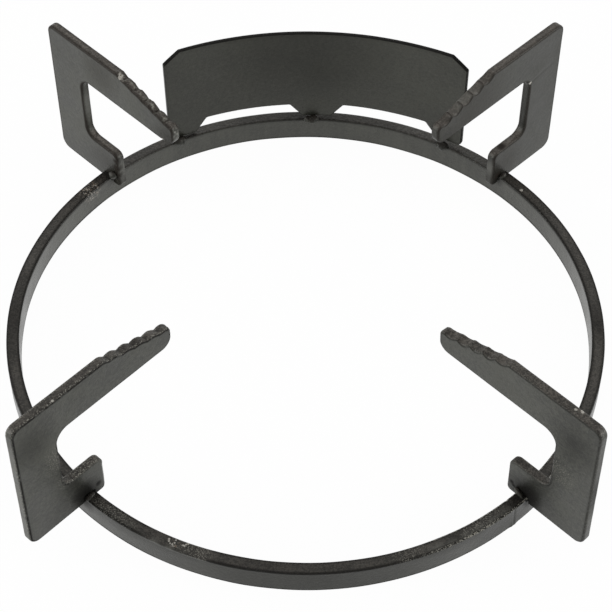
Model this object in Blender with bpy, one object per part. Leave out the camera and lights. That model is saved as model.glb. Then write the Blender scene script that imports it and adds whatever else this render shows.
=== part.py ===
"""Stove pot holder: a ring of flat bar on edge, four slotted arm plates welded across it,
and a bent heat shield welded on top at the back. Metres, +Z up, the ring's bottom edge at z = 0,
the ring's axis on the Z axis, the shield at +Y.
"""
import math

import bmesh
import bpy
from mathutils import Euler, Matrix, Vector

# Ring: flat bar standing on its edge and rolled round
RING_OUTER_RADIUS = 0.1200
BAR_THICKNESS = 0.0050
BAR_HEIGHT = 0.0113
BAR_EDGE_ROUND = 0.0008
RING_STEPS = 128

# Gap left between pieces that touch, so that their meshes stay apart
FIT_GAP = 0.0003

# Play of the notch over the bar, which lets each plate be set true before it is welded
NOTCH_PLAY = 0.0008

# Arm plate, measured outward from the bar's middle and upward from the floor
PLATE_THICKNESS = 0.0040
PLATE_EDGE_ROUND = 0.0007
COLUMN_OVERHANG = 0.0090
COLUMN_WIDTH = 0.0187
NOTCH_LAP = 0.0035
LEG_WIDTH = 0.0038
FOOT_DEPTH = 0.0155
WINDOW_HEIGHT = 0.0327
FINGER_DEPTH = 0.0187
FINGER_LENGTH = 0.0571

# Corners of the arm plate
TOP_CORNER_RADIUS = 0.0040
BOTTOM_CORNER_RADIUS = 0.0044
GULLET_RADIUS = 0.0060
FOOT_FILLET_RADIUS = 0.0045
FOOT_CORNER_RADIUS = 0.0033
LEG_CORNER_RADIUS = 0.0027
NOTCH_CORNER_RADIUS = 0.0008
TIP_TOP_RADIUS = 0.0025
TIP_BOTTOM_RADIUS = 0.0048

# Rounded serrations that fall toward the tip, and stop a small pot from sliding
SERRATION_COUNT = 5
SERRATION_PITCH = 0.00605
SERRATION_DEPTH = 0.0013
SERRATION_FALL = 0.0017
SERRATION_POINTS = 8
SERRATION_POWER = 1.2
TIP_LAND = 0.0021

# Where each arm stands on the ring, and how far the weld pulled it: name, azimuth from +X,
# slide outward in metres, and turn, sideways lean and outward tip in degrees
ARMS = (
    ("front_left", -134.9, -0.0008, 1.3, -0.2, 0.6),
    ("front_right", -45.2, -0.0007, -0.3, 1.0, 0.0),
    ("rear_left", 135.1, 0.0003, -0.4, -0.7, 0.3),
    ("rear_right", 45.2, 0.0008, -0.5, 0.0, 0.0),
)

# Heat shield: a flat blank, bent so that its feet follow the bar and its free top springs flatter
SHIELD_THICKNESS = 0.0020
SHIELD_EDGE_ROUND = 0.0004
SHIELD_HALF_LENGTH = 0.0666
SHIELD_HEIGHT = 0.0479
SHIELD_FIT_UP = 0.0014
SHIELD_CHAMFER_LENGTH = 0.0073
SHIELD_CHAMFER_HEIGHT = 0.0052
SHIELD_CORNER_RADIUS = 0.0010
SHIELD_FOOT_CORNER = 0.0022
SHIELD_FOOT_BEND = 0.1230
SHIELD_TOP_BEND = 0.1365
SHIELD_SET_IN = 0.0006
SHIELD_LEAN_IN = 0.0006
SHIELD_STRIP = 0.0030
VENT_HEIGHT = 0.0066
VENT_INNER = 0.0117
VENT_OUTER = 0.0490
VENT_SLANT = 0.0053
VENT_CORNER_RADIUS = 0.0012

# How the welded shield stands: its place round the ring, its turn about its middle foot, and
# its swing, which lifts the right end
SHIELD_PLACE = -2.3
SHIELD_TURN = 0.35
SHIELD_SWING = 0.4

# Weld beads: a fillet's leg and bulge, the share of the leg where its face turns, and its thin ends
BEAD_LEG = 0.0022
BEAD_BULGE = 0.0004
BEAD_TOE = 0.30
BEAD_SHOULDER = 0.85
BEAD_STATIONS = 7
BEAD_END_SCALE = 0.35
SHIELD_BEAD_LENGTH = 0.0058
SHIELD_BEAD_RISE = 0.0027
SHIELD_BEAD_DROP = 0.0018
SHIELD_BEAD_PROUD = 0.0022
SHIELD_BEAD_SHIFT = 0.0022

# Section of a shield bead: shares of how far it stands proud of the bar, and of its rise or drop
BEAD_CREST = (0.50, 0.85)
BEAD_BELLY = (0.85, 0.35)
BEAD_NOSE = (1.00, 0.45)
BEAD_CHIN = 0.50

# Black coating, as the photograph shows it: greyer on the plates, darker on the sheet
COATING_PLATE = (0.060, 0.060, 0.053)
COATING_RING = (0.052, 0.052, 0.046)
COATING_SHIELD = (0.040, 0.040, 0.035)
COATING_WELD = (0.034, 0.032, 0.029)
COATING_ROUGHNESS = 0.62

# Worked out from the sizes above
BAR_MIDDLE_RADIUS = RING_OUTER_RADIUS - BAR_THICKNESS / 2
NOTCH_HALF = BAR_THICKNESS / 2 + FIT_GAP + NOTCH_PLAY
NOTCH_TOP = BAR_HEIGHT + FIT_GAP
ARM_BOTTOM = BAR_HEIGHT - NOTCH_LAP
FOOT_TOP = BAR_HEIGHT + FOOT_DEPTH
FINGER_BOTTOM = FOOT_TOP + WINDOW_HEIGHT
FINGER_TOP = FINGER_BOTTOM + FINGER_DEPTH
COLUMN_INNER = BAR_THICKNESS / 2 + COLUMN_OVERHANG
COLUMN_OUTER = COLUMN_INNER + COLUMN_WIDTH
LEG_INNER = -NOTCH_HALF - LEG_WIDTH
FINGER_TIP = COLUMN_INNER - FINGER_LENGTH
SHIELD_BOTTOM = BAR_HEIGHT + SHIELD_FIT_UP
SHIELD_TOP = SHIELD_BOTTOM + SHIELD_HEIGHT
ARC_STEP = math.radians(22.5)


def clear_scene():
    for item in list(bpy.data.objects):
        bpy.data.objects.remove(item, do_unlink=True)


def coating(name, colour):
    """One Principled material of the coating's colour."""
    material = bpy.data.materials.new(name)
    material.use_nodes = True
    shader = material.node_tree.nodes["Principled BSDF"]
    shader.inputs["Base Color"].default_value = (*colour, 1.0)
    shader.inputs["Roughness"].default_value = COATING_ROUGHNESS
    shader.inputs["Metallic"].default_value = 0.0
    return material


def add_object(name, bm, colour):
    """Turn a finished bmesh into a named object, smooth apart from its sharp edges."""
    bmesh.ops.recalc_face_normals(bm, faces=bm.faces)
    mesh = bpy.data.meshes.new(name)
    bm.to_mesh(mesh)
    bm.free()
    mesh.shade_smooth()
    mesh.set_sharp_from_angle(angle=math.radians(35))
    mesh.materials.append(coating(name + "_coating", colour))
    item = bpy.data.objects.new(name, mesh)
    bpy.context.scene.collection.objects.link(item)
    return item


def corner_arc(before, corner, after, radius):
    """Points of the arc that rounds one corner of an outline."""
    to_before = (before - corner).normalized()
    to_after = (after - corner).normalized()
    opening = to_before.angle(to_after)
    setback = radius / math.tan(opening / 2)
    centre = corner + (to_before + to_after).normalized() * (radius / math.sin(opening / 2))
    start = corner + to_before * setback - centre
    turn = start.angle_signed(corner + to_after * setback - centre)
    steps = max(1, math.ceil(abs(turn) / ARC_STEP))
    points = []
    for step in range(steps + 1):
        angle = -turn * step / steps
        cosine, sine = math.cos(angle), math.sin(angle)
        points.append(centre + Vector((start.x * cosine - start.y * sine, start.x * sine + start.y * cosine)))
    return points


def rounded_outline(corners):
    """A closed outline from (x, z, radius) corners, each rounded by its own radius."""
    places = [Vector(corner[:2]) for corner in corners]
    points = []
    for index, (x, z, radius) in enumerate(corners):
        if radius == 0:
            points.append(places[index])
            continue
        after = places[(index + 1) % len(places)]
        points.extend(corner_arc(places[index - 1], places[index], after, radius))
    return points


def serrations():
    """Corners of the serrated slope, from the end of the flat top down to the last crest."""
    start = FINGER_TIP + TIP_LAND + SERRATION_COUNT * SERRATION_PITCH
    corners = []
    for index in range(SERRATION_COUNT * SERRATION_POINTS + 1):
        along = index / SERRATION_POINTS
        crest = abs(math.cos(math.pi * along)) ** SERRATION_POWER
        height = FINGER_TOP - SERRATION_FALL * along - SERRATION_DEPTH * (1 - crest)
        corners.append((start - SERRATION_PITCH * along, height, 0))
    return corners


def arm_outline():
    """The arm's side view: column, serrated finger, foot, and the notch that straddles the bar."""
    tip_top = FINGER_TOP - SERRATION_FALL * (SERRATION_COUNT + TIP_LAND / SERRATION_PITCH)
    corners = [
        (COLUMN_OUTER, ARM_BOTTOM, BOTTOM_CORNER_RADIUS),
        (COLUMN_OUTER, FINGER_TOP, TOP_CORNER_RADIUS),
        *serrations(),
        (FINGER_TIP, tip_top, TIP_TOP_RADIUS),
        (FINGER_TIP, FINGER_BOTTOM, TIP_BOTTOM_RADIUS),
        (COLUMN_INNER, FINGER_BOTTOM, GULLET_RADIUS),
        (COLUMN_INNER, FOOT_TOP, FOOT_FILLET_RADIUS),
        (LEG_INNER, FOOT_TOP, FOOT_CORNER_RADIUS),
        (LEG_INNER, ARM_BOTTOM, LEG_CORNER_RADIUS),
        (-NOTCH_HALF, ARM_BOTTOM, NOTCH_CORNER_RADIUS),
        (-NOTCH_HALF, NOTCH_TOP, 0),
        (NOTCH_HALF, NOTCH_TOP, 0),
        (NOTCH_HALF, ARM_BOTTOM, NOTCH_CORNER_RADIUS),
    ]
    return rounded_outline(corners)


def extrude_outline(bm, thickness):
    """Give a flat face in the XZ plane its thickness along Y, and return its rim edges."""
    bmesh.ops.translate(bm, verts=bm.verts, vec=(0, -thickness / 2, 0))
    made = bmesh.ops.extrude_face_region(bm, geom=list(bm.faces))["geom"]
    moved = [item for item in made if isinstance(item, bmesh.types.BMVert)]
    bmesh.ops.translate(bm, verts=moved, vec=(0, thickness, 0))
    bm.normal_update()
    half = thickness / 2
    rim = []
    for edge in bm.edges:
        flat = abs(edge.verts[0].co.y - edge.verts[1].co.y) < half
        kinds = {abs(face.normal.y) > 0.5 for face in edge.link_faces}
        if flat and len(kinds) == 2:
            rim.append(edge)
    return rim


def build_ring():
    """Spin the bar's rounded section about the Z axis."""
    inner = RING_OUTER_RADIUS - BAR_THICKNESS
    section = rounded_outline([
        (inner, 0, BAR_EDGE_ROUND),
        (RING_OUTER_RADIUS, 0, BAR_EDGE_ROUND),
        (RING_OUTER_RADIUS, BAR_HEIGHT, BAR_EDGE_ROUND),
        (inner, BAR_HEIGHT, BAR_EDGE_ROUND),
    ])
    bm = bmesh.new()
    verts = [bm.verts.new((point.x, 0, point.y)) for point in section]
    edges = [bm.edges.new((verts[index - 1], verts[index])) for index in range(len(verts))]
    bmesh.ops.spin(bm, geom=verts + edges, cent=(0, 0, 0), axis=(0, 0, 1), dvec=(0, 0, 0),
                   angle=math.tau, steps=RING_STEPS, use_merge=True)
    bmesh.ops.remove_doubles(bm, verts=bm.verts, dist=0.000001)
    return add_object("ring", bm, COATING_RING)


def arm_mesh():
    """One arm plate, its X axis pointing outward from the bar's middle."""
    bm = bmesh.new()
    bm.faces.new([bm.verts.new((point.x, 0, point.y)) for point in arm_outline()])
    rim = extrude_outline(bm, PLATE_THICKNESS)
    bmesh.ops.bevel(bm, geom=rim, offset=PLATE_EDGE_ROUND, offset_type="OFFSET", segments=2,
                    profile=0.5, affect="EDGES", clamp_overlap=False)
    return bm


def bead_loft(sections):
    """Join closed sections, one after another, into a solid with flat ends."""
    bm = bmesh.new()
    loops = [[bm.verts.new(point) for point in section] for section in sections]
    for first, second in zip(loops, loops[1:]):
        for index in range(len(first)):
            bm.faces.new((first[index - 1], first[index], second[index], second[index - 1]))
    bm.faces.new(loops[0])
    bm.faces.new(loops[-1])
    return bm


def bead_swell(fraction):
    """How full a bead is at a fraction of its length: thin ends and a full middle."""
    return BEAD_END_SCALE + (1 - BEAD_END_SCALE) * math.sin(math.pi * fraction)


def arm_bead_mesh(side):
    """The fillet bead on top of the bar, against one side of an arm plate."""
    face = PLATE_THICKNESS / 2 + FIT_GAP
    floor = BAR_HEIGHT + FIT_GAP
    sections = []
    for station in range(BEAD_STATIONS):
        fraction = station / (BEAD_STATIONS - 1)
        leg = BEAD_LEG * bead_swell(fraction)
        middle = leg / 2 + BEAD_BULGE * bead_swell(fraction)
        x = (fraction - 0.5) * BAR_THICKNESS
        low = (leg * BEAD_SHOULDER, leg * BEAD_TOE)
        high = (leg * BEAD_TOE, leg * BEAD_SHOULDER)
        profile = [(0, 0), (leg, 0), low, (middle, middle), high, (0, leg)]
        sections.append([(x, side * (face + across), floor + up) for across, up in profile])
    return bead_loft(sections)


def build_arms():
    """Four arms round the ring, each with a bead on both sides of its plate."""
    seat = Vector((0, 0, BAR_HEIGHT))
    for name, azimuth, slide, turn, lean, tip in ARMS:
        heading = math.radians(azimuth)
        outward = Vector((math.cos(heading), math.sin(heading), 0))
        stance = Euler((math.radians(lean), math.radians(tip), heading + math.radians(turn)))
        on_seat = stance.to_matrix().to_4x4() @ Matrix.Translation(-seat)
        arm = add_object("arm_" + name, arm_mesh(), COATING_PLATE)
        arm.matrix_world = Matrix.Translation(outward * (BAR_MIDDLE_RADIUS + slide) + seat) @ on_seat
        for side, label in ((1, "_ccw"), (-1, "_cw")):
            bead = add_object("weld_" + name + label, arm_bead_mesh(side), COATING_WELD)
            bead.matrix_world = Matrix.Translation(outward * BAR_MIDDLE_RADIUS + seat) @ on_seat


def shield_outline():
    """The flat blank: clipped top corners, and two vents that leave three feet."""
    vent_top = SHIELD_BOTTOM + VENT_HEIGHT
    half = [
        (VENT_INNER - VENT_SLANT, SHIELD_BOTTOM, 0),
        (VENT_INNER, vent_top, VENT_CORNER_RADIUS),
        (VENT_OUTER, vent_top, VENT_CORNER_RADIUS),
        (VENT_OUTER + VENT_SLANT, SHIELD_BOTTOM, 0),
        (SHIELD_HALF_LENGTH, SHIELD_BOTTOM, SHIELD_FOOT_CORNER),
        (SHIELD_HALF_LENGTH, SHIELD_TOP - SHIELD_CHAMFER_HEIGHT, SHIELD_CORNER_RADIUS),
        (SHIELD_HALF_LENGTH - SHIELD_CHAMFER_LENGTH, SHIELD_TOP, SHIELD_CORNER_RADIUS),
    ]
    other = [(-x, z, radius) for x, z, radius in reversed(half)]
    return rounded_outline(half + other)


def bend_sheet(arc, depth, height):
    """Where a point of the flat blank lies once the sheet is bent and stands on the bar."""
    rise = height - SHIELD_BOTTOM
    share = rise / SHIELD_HEIGHT
    bend = SHIELD_FOOT_BEND + (SHIELD_TOP_BEND - SHIELD_FOOT_BEND) * share
    middle = BAR_MIDDLE_RADIUS - SHIELD_SET_IN - SHIELD_LEAN_IN * share
    angle = arc / bend
    across = (bend + depth) * math.sin(angle)
    back = middle - bend + (bend + depth) * math.cos(angle)
    foot = Vector((0, BAR_MIDDLE_RADIUS, SHIELD_BOTTOM))
    swing = Matrix.Rotation(math.radians(-SHIELD_SWING), 3, "Y")
    turn = Matrix.Rotation(math.radians(SHIELD_TURN), 3, "Z")
    return foot + turn @ (swing @ (Vector((across, back, height)) - foot))


def build_shield():
    """Cut the blank into upright strips, thicken it, and bend it round the ring."""
    outline = shield_outline()
    bm = bmesh.new()
    bm.faces.new([bm.verts.new((point.x, 0, point.y)) for point in outline])
    count = math.ceil(SHIELD_HALF_LENGTH / SHIELD_STRIP)
    lines = {round(point.x, 6) for point in outline}
    lines.update(round(SHIELD_HALF_LENGTH * step / count, 6) for step in range(-count + 1, count))
    for x in sorted(lines):
        everything = list(bm.verts) + list(bm.edges) + list(bm.faces)
        bmesh.ops.bisect_plane(bm, geom=everything, dist=0.00002, plane_co=(x, 0, 0), plane_no=(1, 0, 0))
    rim = extrude_outline(bm, SHIELD_THICKNESS)
    bmesh.ops.bevel(bm, geom=rim, offset=SHIELD_EDGE_ROUND, offset_type="OFFSET", segments=1,
                    profile=0.5, affect="EDGES", clamp_overlap=False)
    for vert in bm.verts:
        vert.co = bend_sheet(vert.co.x, vert.co.y, vert.co.z)
    shield = add_object("heat_shield", bm, COATING_SHIELD)
    shield.rotation_euler = (0, 0, math.radians(SHIELD_PLACE))


def shield_bead_mesh(arc):
    """A blob that ties a shield foot to the bar and spills over the bar's inner top edge."""
    bar = RING_OUTER_RADIUS - BAR_THICKNESS - FIT_GAP
    floor = BAR_HEIGHT + FIT_GAP
    sections = []
    for station in range(BEAD_STATIONS):
        fraction = station / (BEAD_STATIONS - 1)
        along = arc + (fraction - 0.5) * SHIELD_BEAD_LENGTH
        sheet = bend_sheet(along, -SHIELD_THICKNESS / 2 - FIT_GAP, SHIELD_BOTTOM)
        angle = math.atan2(sheet.x, sheet.y)
        shelf = math.hypot(sheet.x, sheet.y) - bar
        swell = bead_swell(fraction)
        proud, rise, drop = SHIELD_BEAD_PROUD * swell, SHIELD_BEAD_RISE * swell, SHIELD_BEAD_DROP * swell
        profile = [
            (0, 0),
            (shelf, 0),
            (shelf, rise),
            (shelf - proud * BEAD_CREST[0], rise * BEAD_CREST[1]),
            (-proud * BEAD_BELLY[0], rise * BEAD_BELLY[1]),
            (-proud * BEAD_NOSE[0], -drop * BEAD_NOSE[1]),
            (-proud * BEAD_CHIN, -drop),
            (0, -drop),
        ]
        section = []
        for across, up in profile:
            radius = bar + across
            section.append((radius * math.sin(angle), radius * math.cos(angle), floor + up))
        sections.append(section)
    return bead_loft(sections)


def build_shield_beads():
    """One bead at each of the shield's feet, a little to the left of the foot's middle."""
    end_foot = (VENT_OUTER + VENT_SLANT + SHIELD_HALF_LENGTH) / 2
    for name, arc in (("left", -end_foot), ("centre", 0.0), ("right", end_foot)):
        bead = add_object("weld_shield_" + name, shield_bead_mesh(arc - SHIELD_BEAD_SHIFT), COATING_WELD)
        bead.rotation_euler = (0, 0, math.radians(SHIELD_PLACE))


def main():
    clear_scene()
    build_ring()
    build_arms()
    build_shield()
    build_shield_beads()


main()
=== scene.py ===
# %% [markdown]
# # A pot holder for a gas hob, dressed for its portrait
#
# The object is a ring of flat steel bar on its edge. Four slotted plates are welded across it and carry
# the pot on their serrated fingers. A bent sheet at the back keeps the flame's heat in. Everything is
# coated matt black. The solids come from the CAD source, and this lesson gives them their looks.

import math

import bmesh
import bpy
from mathutils import Euler, Matrix, Vector, noise


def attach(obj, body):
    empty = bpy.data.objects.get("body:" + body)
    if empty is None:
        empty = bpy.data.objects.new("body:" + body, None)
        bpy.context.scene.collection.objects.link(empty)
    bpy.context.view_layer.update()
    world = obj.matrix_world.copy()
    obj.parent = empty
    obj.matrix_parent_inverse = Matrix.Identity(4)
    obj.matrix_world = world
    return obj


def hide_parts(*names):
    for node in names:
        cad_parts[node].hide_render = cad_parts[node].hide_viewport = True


MM = 0.001

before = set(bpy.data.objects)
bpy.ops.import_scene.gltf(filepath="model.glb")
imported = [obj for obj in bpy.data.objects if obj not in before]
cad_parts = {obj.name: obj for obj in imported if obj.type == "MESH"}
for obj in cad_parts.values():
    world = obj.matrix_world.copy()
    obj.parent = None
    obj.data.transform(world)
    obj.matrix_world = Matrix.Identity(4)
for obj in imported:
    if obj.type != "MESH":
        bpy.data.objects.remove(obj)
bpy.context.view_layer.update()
print("solids:", sorted(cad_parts))

# %% [markdown]
# ## The camera
#
# The ring is a known circle, so its picture tells where the camera stood. An orbit is the plainest way
# to say it: so far from the ring's centre, so high above the horizon, and turned a little about the
# upright axis. Three more angles aim it a little past the ring's centre, and not quite level. The lens
# is long, about 118 mm, because the ring's near and far side look almost the same size.

# %% Camera on its orbit
CAMERA_DISTANCE = 0.8161
CAMERA_ELEVATION = 50.91
CAMERA_SWING = -0.43
CAMERA_DOWN = 49.99
CAMERA_HEADING = -0.412
CAMERA_ROLL = 0.44
LENS_MM = 117.785
SENSOR_MM = 36


def add_object(name, data):
    """A new object in the scene."""
    made = bpy.data.objects.new(name, data)
    bpy.context.scene.collection.objects.link(made)
    return made


def turn(degrees, axis):
    return Matrix.Rotation(math.radians(degrees), 4, axis)


def make_camera():
    lift = math.radians(CAMERA_ELEVATION)
    seat = Vector((0, -math.cos(lift), math.sin(lift))) * CAMERA_DISTANCE
    data = bpy.data.cameras.new("camera")
    data.lens = LENS_MM
    data.sensor_width = SENSOR_MM
    camera = add_object("camera", data)
    aim = turn(CAMERA_HEADING, "Z") @ turn(90 - CAMERA_DOWN, "X") @ turn(CAMERA_ROLL, "Z")
    camera.matrix_world = Matrix.Translation(turn(CAMERA_SWING, "Z") @ seat) @ aim
    bpy.context.scene.camera = camera
    return camera


camera = make_camera()
print("camera at", [round(value, 4) for value in camera.matrix_world.translation])

# %% [markdown]
# ## Shader maths that reads like maths
#
# A finish is a graph of nodes, and most of them only add, multiply or blend. The class below wraps one
# output socket, and Python's own operators place the Math nodes, so a mask is written as
# `1 - speckle * edge`. Any other node comes from one method, with its settings and its inputs.

# %% Socket wrapper
class Wire:
    """One output socket of a node in a material's tree."""

    def __init__(self, tree, socket=None):
        self.tree = tree
        self.socket = socket

    def node(self, kind, inputs=None, settings=None, output=0):
        """Add any shader node, and return the wire of one of its outputs."""
        made = self.tree.nodes.new("ShaderNode" + kind)
        for name, value in (settings or {}).items():
            setattr(made, name, value)
        for name, value in (inputs or {}).items():
            if isinstance(value, Wire):
                self.tree.links.new(value.socket, made.inputs[name])
            elif made.inputs[name].type == "RGBA":
                made.inputs[name].default_value = (*value, 1)
            else:
                made.inputs[name].default_value = value
        return Wire(self.tree, made.outputs[output] if made.outputs else None)

    def twin(self, output):
        """Another output of the same node."""
        return Wire(self.tree, self.socket.node.outputs[output])

    def maths(self, operation, *values):
        return self.node("Math", dict(enumerate(values)), {"operation": operation})

    def __add__(self, other):
        return self.maths("ADD", self, other)

    def __sub__(self, other):
        return self.maths("SUBTRACT", self, other)

    def __rsub__(self, other):
        return self.maths("SUBTRACT", other, self)

    def __mul__(self, other):
        return self.maths("MULTIPLY", self, other)

    def __truediv__(self, other):
        return self.maths("DIVIDE", self, other)

    __radd__ = __add__
    __rmul__ = __mul__

    def greater(self, other):
        return self.maths("MAXIMUM", self, other)

    def between(self, low, high):
        """Rise smoothly from 0 to 1 while this value goes from low to high."""
        inputs = {"Value": self, "From Min": low, "From Max": high}
        return self.node("MapRange", inputs, {"interpolation_type": "SMOOTHSTEP"})

    def blend(self, first, second):
        """Go from the first colour to the second as this value goes from 0 to 1."""
        return self.node("Mix", {0: self, 6: first, 7: second}, {"data_type": "RGBA"}, 2)


print("shader helpers ready")

# %% [markdown]
# ## A white studio
#
# The floor is a pale diffuse sheet, so that it throws light back up at the plates and keeps the
# object's soft shadow. To the camera and to mirror rays it also glows, by Light Path's outputs, which
# makes it white without any more light on the object. Black coating shows mostly what it mirrors, so
# that white floor gives the upright faces their grey.

# %% Floor and backdrop
FLOOR_SIZE = 6.0
FLOOR_COLOUR = (0.88, 0.88, 0.87)
FLOOR_GLOW = 0.975
FLOOR_DROP = 0.0002


def white_to_the_camera(start, lit):
    """Mix a lit shader with plain white for the camera's and mirror rays alone."""
    path = start.node("LightPath", output="Is Camera Ray")
    seen = (path + path.twin("Is Glossy Ray") + path.twin("Is Transmission Ray")) * FLOOR_GLOW
    white = start.node("Emission", {"Color": (1, 1, 1), "Strength": 1.0})
    return start.node("MixShader", {0: seen, 1: lit, 2: white})


def empty_material(name):
    """A new material without nodes, and a wire to add them from."""
    material = bpy.data.materials.new(name)
    material.use_nodes = True
    material.node_tree.nodes.clear()
    return material, Wire(material.node_tree)


def make_floor():
    material, start = empty_material("studio_floor")
    lit = start.node("BsdfDiffuse", {"Color": FLOOR_COLOUR})
    start.node("OutputMaterial", {"Surface": white_to_the_camera(start, lit)})
    half = FLOOR_SIZE / 2
    mesh = bpy.data.meshes.new("studio_floor")
    corners = [(-half, -half), (half, -half), (half, half), (-half, half)]
    mesh.from_pydata([(x, y, -FLOOR_DROP) for x, y in corners], [], [(0, 1, 2, 3)])
    mesh.materials.append(material)
    add_object("studio_floor", mesh)


make_floor()
print("floor size in m:", FLOOR_SIZE)

# %% [markdown]
# The world is a dim white room for the object's light, and plain white to the camera. Two soft round
# lamps stand low at the left and the right, and a weak one at the back. The photograph asks for that:
# plates that face half sideways are lighter than the shield and the ring's front, which face the camera,
# and all tops are darker than the sides.

# %% World and lamps
WORLD_STRENGTH = 0.6
LAMPS = (
    ("left", (-1.34, -0.1, 0.34), 0.9, 12.5),
    ("right", (1.34, -0.1, 0.34), 0.9, 11.5),
    ("back", (0.0, 1.4, 0.45), 1.0, 3.0),
)
LAMP_TARGET = Vector((0, 0, 0.03))


def make_world():
    world = bpy.data.worlds.new("studio")
    world.use_nodes = True
    world.node_tree.nodes.clear()
    bpy.context.scene.world = world
    start = Wire(world.node_tree)
    dim = start.node("Background", {"Color": (1, 1, 1), "Strength": WORLD_STRENGTH})
    white = start.node("Background", {"Color": (1, 1, 1), "Strength": 1.0})
    path = start.node("LightPath", output="Is Camera Ray")
    seen = start.node("MixShader", {0: path, 1: dim, 2: white})
    start.node("OutputWorld", {"Surface": seen})


def make_lamps():
    for name, place, size, power in LAMPS:
        data = bpy.data.lights.new(name, "AREA")
        data.shape = "DISK"
        data.size = size
        data.energy = power
        lamp = add_object(name, data)
        lamp.location = place
        lamp.rotation_mode = "QUATERNION"
        lamp.rotation_quaternion = (LAMP_TARGET - Vector(place)).to_track_quat("-Z", "Y")


make_world()
make_lamps()
print("lamps:", [name for name, place, size, power in LAMPS])

# %% [markdown]
# ## Outlines with true corners
#
# The plates and the shield are cut from flat stock, and their corners are arcs. An outline is a list of
# corners, each with its own radius, walked round counterclockwise. Long sides get extra points, because
# a later step pushes the points of the rim a little in and out.

# %% Outline helpers
ARC_STEP = math.radians(9)
LEAST_SHARE = 0.6


def corner_arc(before, corner, after, radius):
    """Points of the arc that rounds one corner of an outline."""
    to_before = (before - corner).normalized()
    to_after = (after - corner).normalized()
    opening = to_before.angle(to_after)
    setback = radius / math.tan(opening / 2)
    centre = corner + (to_before + to_after).normalized() * (radius / math.sin(opening / 2))
    start = corner + to_before * setback - centre
    sweep = start.angle_signed(corner + to_after * setback - centre)
    steps = max(1, math.ceil(abs(sweep) / ARC_STEP))
    points = []
    for step in range(steps + 1):
        angle = -sweep * step / steps
        cosine, sine = math.cos(angle), math.sin(angle)
        turned = (start.x * cosine - start.y * sine, start.x * sine + start.y * cosine)
        points.append(centre + Vector(turned))
    return points


def rounded_outline(corners):
    """A closed outline from corners (x, z, radius)."""
    places = [Vector(corner[:2]) for corner in corners]
    points = []
    for index, (x, z, radius) in enumerate(corners):
        if radius == 0:
            points.append(places[index])
            continue
        after = places[(index + 1) % len(places)]
        points.extend(corner_arc(places[index - 1], places[index], after, radius))
    return points


def fine_outline(corners, longest):
    """The rounded outline, with no side longer than a given length."""
    outline = rounded_outline(corners)
    points = []
    for index, point in enumerate(outline):
        after = outline[(index + 1) % len(outline)]
        parts = max(1, math.ceil((after - point).length / longest))
        points.extend(point.lerp(after, step / parts) for step in range(parts))
    return points


def inward_steps(outline):
    """For each point of an outline, the step that moves its sides inward by one metre.

    At a sharp corner that step is long, so its length is limited by the least share.
    """
    steps = []
    for index, point in enumerate(outline):
        before = (point - outline[index - 1]).normalized()
        after = (outline[(index + 1) % len(outline)] - point).normalized()
        square = Vector((-after.y, after.x))
        across = (Vector((-before.y, before.x)) + square).normalized()
        steps.append(across / max(LEAST_SHARE, across.dot(square)))
    return steps


print("an arc's step in degrees:", round(math.degrees(ARC_STEP)))

# %% [markdown]
# ## Handing a piece over
#
# Each finer mesh stays where the solid is that it replaces, and carries three numbers on each point for
# the finishes. `rim` is 0 on a flat face and 1 on the cut edge. `edge` is 1 on the rounding between the
# two and fades on both sides of it. `line` is 1 only where the rounding meets the flat face and in
# creases, where the finish paints a dark line of shade.

# %% Piece helpers
NUMBERS = ("rim", "edge", "line")
NOISE_SHIFTS = (7.3, 3.1, 5.7)
pieces = {}


def hand_over(name, bm, node, place=None):
    """Turn a finished bmesh into a piece that stands for its solid."""
    bmesh.ops.recalc_face_normals(bm, faces=bm.faces)
    mesh = bpy.data.meshes.new(name)
    bm.to_mesh(mesh)
    bm.free()
    mesh.shade_smooth()
    piece = add_object(name, mesh)
    piece.matrix_world = place or Matrix()
    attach(piece, "root")
    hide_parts(node)
    pieces[node] = piece


def number_layers(bm):
    return [bm.verts.layers.float.new(name) for name in NUMBERS]


def set_numbers(vert, layers, values):
    for layer, value in zip(layers, values):
        vert[layer] = value


def join_loops(bm, loops):
    """Lay a strip of faces between each closed loop of points and the next one."""
    for first, second in zip(loops, loops[1:]):
        for index in range(len(first)):
            bm.faces.new((first[index - 1], first[index], second[index], second[index - 1]))


def roughen(bm, amount_at, wavelength, seed):
    """Push each point along its normal by smooth noise of size amount_at."""
    bm.normal_update()
    shift = Vector([seed * step for step in NOISE_SHIFTS])
    sizes = [amount_at(vert) * noise.noise(vert.co / wavelength + shift) for vert in bm.verts]
    for vert, size in zip(bm.verts, sizes):
        vert.co += vert.normal * size


def dent(bm, marks, depth_share):
    """Sink a shallow hollow into the mesh at each mark, which is (x, y, z, radius) in mm."""
    bm.normal_update()
    for x, y, z, radius in marks:
        middle = Vector((x * MM, y * MM, z * MM))
        for vert in bm.verts:
            away = (vert.co - middle).length / (radius * MM)
            if away < 1:
                vert.co -= vert.normal * (radius * MM * depth_share * (1 - away * away))


print("numbers on each point:", NUMBERS)

# %% [markdown]
# ## The ring
#
# The ring is one length of flat bar, rolled on edge, with its two ends butt-welded and ground. It could
# be a torus with a square section, but a bar has flat sides and small round edges, so its section is
# walked round the axis. Rolled bar waves by a few hundredths of a millimetre, the welding pulls the
# circle a few tenths out of round, and the butt joint beside the front right arm leaves a shallow
# groove with a drop of weld at its foot. The steps are closer together there, to carry that shape.

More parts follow.
